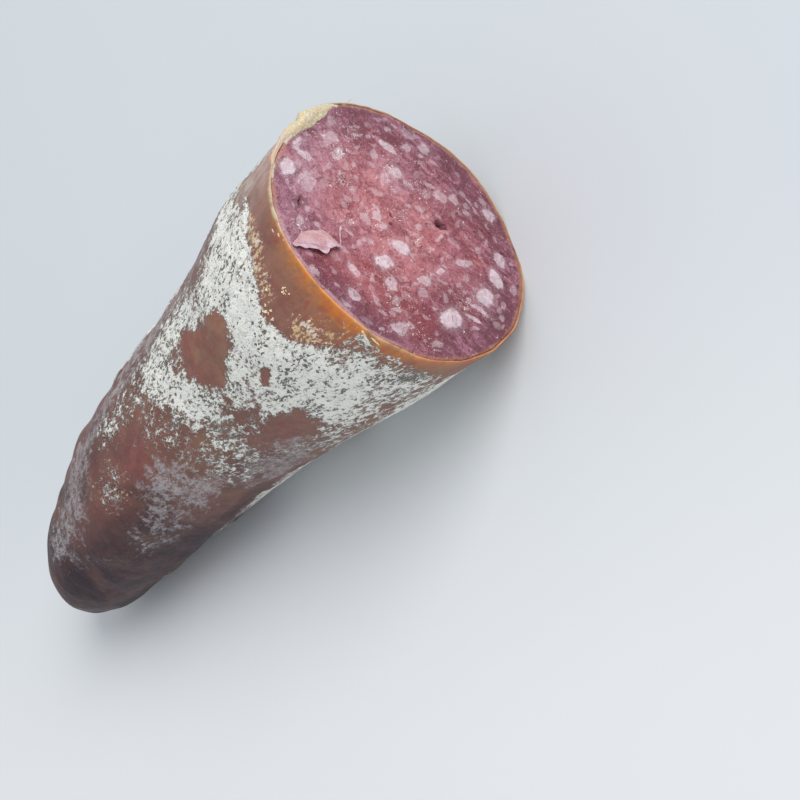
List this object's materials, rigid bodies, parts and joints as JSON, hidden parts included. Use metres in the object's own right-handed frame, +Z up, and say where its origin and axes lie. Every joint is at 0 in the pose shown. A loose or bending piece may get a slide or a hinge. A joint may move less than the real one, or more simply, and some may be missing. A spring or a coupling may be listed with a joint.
{
  "type": "cured sausage",
  "caption": "Cut half of a tapered dry-cured sausage, lying on its side, with a mould-dusted gut casing and a coarse marbled cut face.",
  "frame": {"origin": "on the board, below the middle of the bounding box", "axes": "+X along the sausage towards the cut face, +Y to its side, +Z up"},
  "size_m": [0.144, 0.056, 0.0551],
  "materials": {
    "casing": "dry matt gut skin, brown, with patches of white bloom and a bare amber band beside the cut",
    "meat": "moist cut meat, mauve pink with pale fat grains"
  },
  "bodies": {
    "root": {"casing": "casing", "meat": "meat"}
  },
  "joints": []
}
